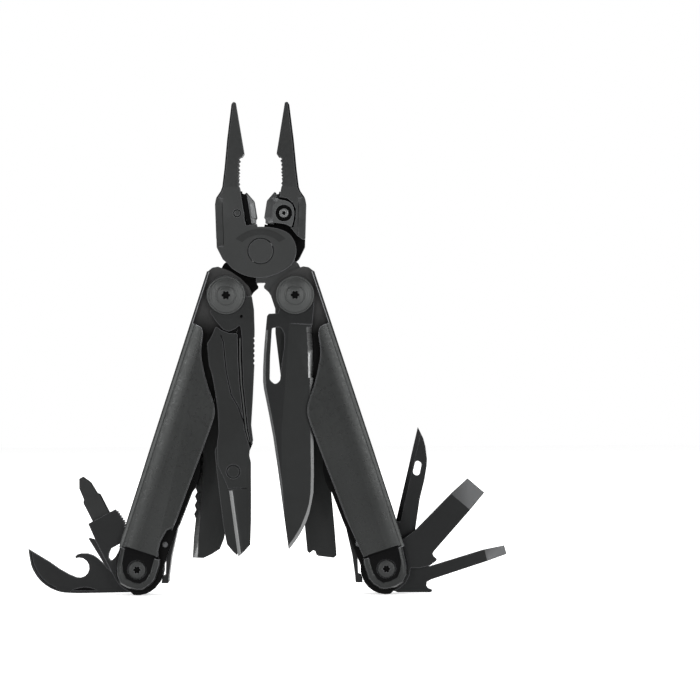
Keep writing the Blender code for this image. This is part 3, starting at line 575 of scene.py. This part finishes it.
for half, s in (("front", -1), ("rear", 1)):
    body = half + "_half"
    where = "jaw_" + half
    flip = -s
    band = arc_path(0, -4.6, 12.1, 46, 134) + arc_path(0, -3.4, 8.9, 134, 46)
    disc = arc_path(0, 0, 4.42, 0, 350, 35)
    cuts = []
    late = []
    # the shallow band and the ring round the rivet are recesses painted with shade
    for shape, depth, mat in ((band, 0.2, SHADE), (disc, 0.3, PAINTED_SHADE)):
        low, high = sorted((s * (JAW_FACE - depth), s * 5.7))
        late.append(prism(shape, low, high, "head", mat))
    for f in (-1, 1):
        # the side bevel is painted shade black; the foot facet keeps the jaw's own colour
        for path, width, depth, mat in ((SIDE, 0.5, 0.7, PAINTED_SHADE), (FOOT, 2.5, 1.1, HEADMAT)):
            way = [(-flip * x, z, -f * d) for x, z, d in path]
            if flip > 0:
                way = way[::-1]
            cuts.append(grind(way, width, depth, f * JAW_FACE, f, where, mat))
        # the foot lines, grip notches and seat groove are painted shade black
        line = [(-flip * (x - 2.5), z) for x, z, d in FOOT[:4]]
        late.append(groove(line, 0.2, 0.2, f * JAW_FACE, f, where, PAINTED_SHADE))
    way = [(-flip * x, z) for x, z in GRIP]
    late.append(notches(way if flip > 0 else way[::-1], 1.3, 0.6, -5.6, 5.6, where, PAINTED_SHADE))
    seat = [(3.1, 18.4), (5.84, 18.5), (7.9, 17.4), (9.1, 15.7), (9.5, 12.45), (9.2, 9.6)]
    late.append(groove([(-flip * x, z) for x, z in seat], 0.85, 1.0, -s * JAW_FACE, -s, where,
        PAINTED_SHADE))
    # flat faces lying 0.1 to 0.6 mm from the middle plane get painted shade
    refined("jaw_" + half, body, HEADMAT, cuts, 0.2, 3, 24, (0.1, 0.6), late)
    # on the insert: ground cutting face, a relief behind it and a deep seat round the screw, both
    # painted shade black
    cuts = []
    ring = arc_path(5.7, 13.8, 2.8, 0, 350, 35)
    ring = [(-flip * x, z) for x, z in ring]
    low, high = sorted((-s * 5.3, -s * 4.1))
    late = [prism(ring, low, high, where, PAINTED_SHADE)]
    lip = [(0.2, 9.3, 0.0), (-0.1, 10.7, 0.0), (-0.6, 11.4, 0.0), (-0.6, 16.4, 0.0),
        (0.2, 18.0, 0.0), (1.5, 20.3, 0.0)]
    way = [(-flip * x, z, 0.0) for x, z, d in lip]
    if flip < 0:
        way = way[::-1]
    cuts.append(grind(way, 2.5, 0.9, -s * INSERT_FACE, -s, where, GROUND))
    low, high = sorted((s * 3.6, s * 5.2))
    relief = [(1.55, 9.0), (4.0, 9.0), (4.0, 21.0), (1.55, 21.0)]
    cuts.append(prism([(-flip * x, z) for x, z in relief], low, high, where, PAINTED_SHADE))
    cuts.append(grind(way, 1.7, 0.35, s * INSERT_BACK, s, where, GROUND))
    # the insert's flat faces 1.0 to 4.3 mm from the middle plane get painted shade
    refined("cutter_insert_" + half, body, INSERT, cuts, 0.12, 2, 28, (1.0, 4.3),
        late)
    # painted shade: dark blocks that close the slits round the insert
    for k, fill in enumerate(([(0.7, 7.9), (4.2, 7.9), (4.2, 10.2), (0.7, 10.2)],
            [(2.9, 11.5), (4.4, 11.5), (4.4, 20.9), (2.9, 20.9)])):
        low, high = sorted((s * 1.0, s * 3.4))
        slit_shade_block = prism([(-flip * x, z) for x, z in fill], low, high, where, PAINTED_SHADE)
        slit_shade_block.name = "slit_shade_%s_%d" % (half, k + 1)
        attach(slit_shade_block, body)
    spot = place(where) @ Vector((-flip * 5.7 * MM, 0, 13.8 * MM))
    profile = [(0, s * 5.3), (1.0, s * 5.3), (1.15, s * 5.15), (1.15, -s * 3.0), (1.6, -s * 4.3),
        (1.6, -s * 5.05), (1.4, -s * 5.25), (0, -s * 5.3)]
    ob = turned("cutter_screw_%s_fine" % half, profile, spot, 32)
    ob.data.materials.append(SCREW)
    low, high = sorted((-s * 5.8, -s * 4.3))
    carve(ob, star(0.8, 0.5, low, high, spot))
    smoothed(rounded_off(ob, 0.06, 2))
    ob.data.materials.append(HEADMAT)
    for face in ob.data.polygons:
        if face.center.y * s > 0.004:
            face.material_index = len(ob.data.materials) - 1
    show(ob, "cutter_screw_" + half, body, SCREW)
ob = turned("plier_rivet_fine", [(0, 5.35), (4.1, 5.35), (4.24, 5.2), (4.24, -5.2), (4.1, -5.35),
    (0, -5.35)], HEAD, 64)
smoothed(rounded_off(ob, 0.06, 2))
show(ob, "plier_rivet", "front_half", HEADMAT)


# outer blades ------------------------------------------------------------

edge = [(27, -6.7), (45, -7.3), (60, -7.85), (66, -7.85), (70, -7.4), (73, -6.6), (77.9, -4.8),
    (81.8, -2.6), (85.6, 0.1)]
spine = [(85.6, 0.0), (65.4, 3.25), (47.8, 6.2), (41, 7.6), (34.5, 9.05), (31, 9.8), (27, 10.1),
    (20, 10.05), (12, 9.6)]
flat = [(9.9, -9.0), (30, -8.3), (45, -7.4), (60, -7.85), (66, -7.85), (72.9, -6.6), (78, -4.8),
    (86.5, -0.6)]
cuts = [
    grind(flat, 10.8, 0.62, -BLADE_FACE, -1, "knife", BLADE),
    grind(flat, 10.8, 0.62, -BLADE_BACK, 1, "knife", BLADE),
    grind(edge, 1.0, 0.34, -8.62, -1, "knife", BRIGHT),
    grind(edge, 1.0, 0.34, -7.83, 1, "knife", BRIGHT),
    grind(spine, 0.9, 0.25, -BLADE_FACE, -1, "knife", GROUND),
]
cuts.append(grind([(10.6, -5.8), (18, -6.45), (27.5, -6.75)], 1.7, 0.95, -8.8, -1, "knife", BRIGHT))
refined("knife_blade", "knife", TOOL, cuts, 0.12, 2, 30)

# painted shade: a dark sheet set in the scissors' slot
slot_shade = prism([(6, 5.2), (14, 2.6), (30, 2.2), (46, 3.4), (53, 5.2), (50, 6.6), (30, 5.2),
    (14, 5.4)], -8.35, -7.5, "scissors", PAINTED_SHADE)
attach(slot_shade, "scissors")
slot_shade.name = "scissor_slot_shade"
seam = [(13.2, -2.4), (15.8, -1.6), (25.8, -1.1), (33.4, 0.2), (37.2, 2.2), (42.3, 3.9),
    (48.7, 5.2)]
eye = arc_path(7.3, 4.75, 0.5, 0, 340, 17)
cuts = [notches([(24, 8.45), (19, 8.75), (14, 9.0)], 1.6, 0.45, -9.6, -6.9, "scissors")]
# the seam line and the eye are painted shade black
late = [groove(seam, 0.34, 0.35, -BLADE_FACE, -1, "scissors", PAINTED_SHADE),
    prism(eye, -9.6, -8.4, "scissors", PAINTED_SHADE)]
refined("scissor_base", "scissors", BLADE, cuts, 0.15, 2, late=late)
cuts = [
    grind([(65.5, -2.0), (87.9, 0.0)], 1.1, 0.55, -BLADE_FACE, -1, "scissors", BRIGHT),
    notches([(16.5, -7.1), (20.3, -7.0), (23.3, -6.8), (26.7, -5.9), (32.1, -5.2), (38.2, -4.6),
        (45, -4.6)], 0.7, 0.25, -9.6, -7.9, "scissors"),
]
late = [groove(seam, 0.34, 0.35, -BLADE_FACE, -1, "scissors", PAINTED_SHADE),
    prism(eye, -9.6, -8.4, "scissors", PAINTED_SHADE)]
# step line below the rivet, painted shade black
late.append(groove([(64.9, -2.2), (64.6, 0.8), (64.9, 3.9)], 0.22, 0.25, -BLADE_FACE, -1,
    "scissors", PAINTED_SHADE))
refined("scissor_lever", "scissors_lever", BLADE, cuts, 0.12, 2, late=late)
refined("scissor_rivet", "scissors", BLADE, (), 0.1, 2)
refined("scissor_spring", "scissors", BOLT, (), 0.08, 2)

edge = [(20, -5.9), (49, -5.6), (76.2, -5.1), (82.9, -5.15), (89.8, -4.9)]
cuts = [
    grind(edge, 1.7, 0.75, BLADE_FACE, 1, "serrated", BRIGHT),
    grind(edge, 1.7, 0.5, BLADE_BACK, -1, "serrated", BRIGHT),
]
refined("serrated_blade", "serrated", BLADE, cuts, 0.12, 2)
refined("saw_blade", "saw", BLADE, (), 0.1, 2)
refined("blade_exchanger", "saw", HEADMAT, (), 0.2, 3)


# small tools -------------------------------------------------------------

nick = [(13.8, 7.5), (15.2, 6.9), (16.8, 6.5), (18.2, 6.4), (19.6, 6.55), (21.2, 6.95), (22.6, 7.5)]
# the nail nick is painted shade black
late = [prism(nick, -1.0, 0.45, "opener", PAINTED_SHADE)]
cuts = [grind([(37.3, -6.6), (36.3, -1.2), (34.9, 1.8), (33.3, 4.0), (30.9, 6.0),
    (28.2, 7.4)][::-1], 0.7, 0.35, 0.1, -1, "opener", GROUND)]
refined("can_opener", "opener", TOOL, cuts, 0.16, 2, late=late)

cuts = [notches([(14.0, -2.4), (15.6, -3.5), (20.3, -3.0), (21.3, -2.5)], 1.0, 0.45, -6.0, 1.0,
    "driver")]
refined("bit_driver", "bit_driver", TOOL, cuts, 0.3, 3)
# the bit is drawn in the dim painted-shade black
refined("driver_bit", "bit", SHADE, (), 0.15, 2)

cuts = [grind([(48.6, 0.0), (30, 0.15), (16.0, 0.2)], 1.5, 0.8, 0.2, -1, "awl", GROUND)]
refined("awl", "awl", TOOL, cuts, 0.15, 2)
# flat drivers: the tip's far edge, the length of the ramps, and the depths of the two faces
DRIVERS = [("large", [(41.5, -4.2), (40.5, 4.2)], 7.6, -5.2, -2.8),
    ("small", [(40.85, -2.2), (40.4, 2.2)], 6.9, -2.5, -0.1)]
for name, tip, ramp, front, back in DRIVERS:
    cuts = [grind(tip, ramp, 0.95, front, -1, name, GROUND),
        grind(tip, ramp, 0.75, back, 1, name, GROUND)]
    refined(name + "_driver", name + "_driver", TOOL, cuts, 0.15, 2)


# stage, lights and camera ------------------------------------------------

white = bpy.data.materials.new("stage_white")
white.use_nodes = True
shader = white.node_tree.nodes["Principled BSDF"]
shader.inputs["Base Color"].default_value = (0.9, 0.9, 0.9, 1)
shader.inputs["Roughness"].default_value = 0.9
shader.inputs["Emission Color"].default_value = (1.0, 1.0, 1.0, 1)
shader.inputs["Emission Strength"].default_value = 0.6
bm = bmesh.new()
bmesh.ops.create_grid(bm, x_segments=8, y_segments=8, size=2.0)
mesh = bpy.data.meshes.new("stage")
bm.to_mesh(mesh)
bm.free()
mesh.materials.append(white)
floor = new_object("stage", mesh)
floor.location.z = -0.0002


def lamp(name, spot, aim, size, power):
    data = bpy.data.lights.new(name, "AREA")
    data.shape = "RECTANGLE"
    data.size = size[0]
    data.size_y = size[1]
    data.energy = power
    ob = bpy.data.objects.new(name, data)
    bpy.context.scene.collection.objects.link(ob)
    ob.location = spot
    ob.rotation_euler = (Vector(aim) - Vector(spot)).to_track_quat("-Z", "Y").to_euler()
    return ob


AIM = (0.0, 0.0, 0.08)
lamp("key_left", (-0.54, -1.46, 0.25), AIM, (0.22, 0.9), 7.5)
lamp("key_right", (0.60, -1.44, 0.25), AIM, (0.22, 0.9), 8.5)
lamp("rim_left", (-1.1, -0.3, 0.35), AIM, (0.4, 1.0), 8)
lamp("rim_right", (1.1, -0.3, 0.35), AIM, (0.4, 1.0), 8)
lamp("top", (0.0, -0.4, 1.2), AIM, (1.2, 0.5), 8)
lamp("back", (0.0, 1.2, 0.9), AIM, (1.6, 0.6), 14)

# the room: white where it is seen directly, softer in what the steel reflects
world = bpy.data.worlds.new("studio")
bpy.context.scene.world = world
world.use_nodes = True
tree = world.node_tree
seen = tree.nodes["Background"]
seen.inputs["Color"].default_value = (1.0, 1.0, 1.0, 1.0)
seen.inputs["Strength"].default_value = 1.0
room = tree.nodes.new("ShaderNodeBackground")
room.inputs["Color"].default_value = (1.0, 1.0, 1.0, 1.0)
room.inputs["Strength"].default_value = 0.36
path = tree.nodes.new("ShaderNodeLightPath")
mix = tree.nodes.new("ShaderNodeMixShader")
tree.links.new(path.outputs["Is Camera Ray"], mix.inputs["Fac"])
tree.links.new(room.outputs["Background"], mix.inputs[1])
tree.links.new(seen.outputs["Background"], mix.inputs[2])
tree.links.new(mix.outputs["Shader"], tree.nodes["World Output"].inputs["Surface"])
bpy.context.scene.view_settings.view_transform = "Standard"

WIDTH = 0.2359
LENS = 200.0
DISTANCE = WIDTH * LENS / 36.0
camera_data = bpy.data.cameras.new("camera")
camera_data.lens = LENS
camera_data.sensor_width = 36.0
camera_data.clip_start = 0.05
camera_data.clip_end = 20.0
camera = bpy.data.objects.new("camera", camera_data)
bpy.context.scene.collection.objects.link(camera)
middle = Vector((HEAD.x + 0.02985, 0.0, HEAD.z - 0.03335))
turn = Matrix.Rotation(math.pi / 2, 4, "X") @ Matrix.Rotation(math.radians(-0.24), 4, "Z")
camera.matrix_world = Matrix.Translation(middle - Vector((0, DISTANCE, 0))) @ turn
bpy.context.scene.camera = camera
